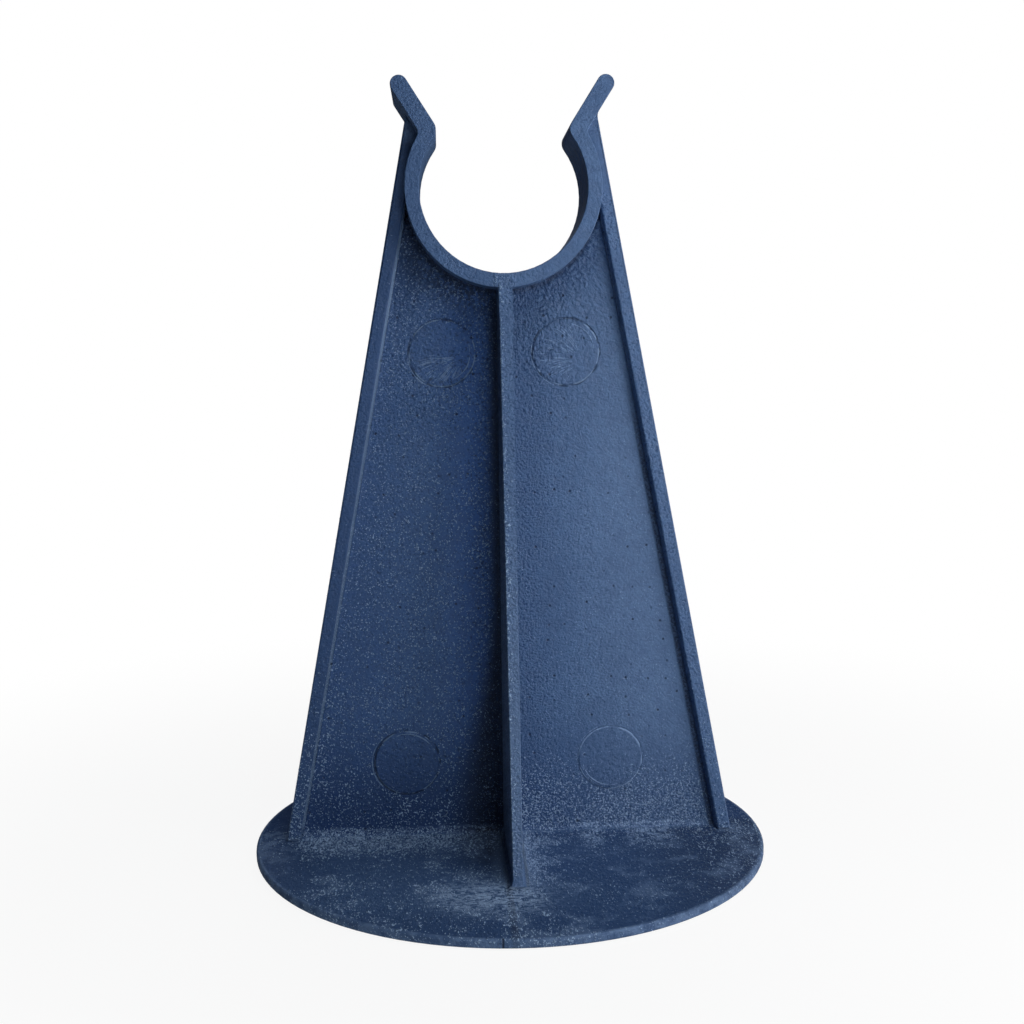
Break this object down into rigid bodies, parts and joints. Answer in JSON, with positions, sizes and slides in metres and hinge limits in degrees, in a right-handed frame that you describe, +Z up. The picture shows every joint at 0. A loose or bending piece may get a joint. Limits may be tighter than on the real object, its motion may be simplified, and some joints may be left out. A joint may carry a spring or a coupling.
{
  "type": "rebar chair",
  "caption": "One-piece moulded plastic spacer: round foot plate, ribbed tapering upright and an open snap clip that holds a reinforcing bar at cover height.",
  "frame": {"origin": "middle of the foot plate's underside, on the ground", "axes": "+Z up through the clip, +X across the clip from lip to lip, +Y along the reinforcing bar towards the back; the ejector marks are on the -Y face of the web"},
  "size_m": [0.0675, 0.0674, 0.099],
  "materials": {
    "body": "spark-eroded satin"
  },
  "bodies": {
    "root": {"rebar_chair": "body"}
  },
  "joints": []
}
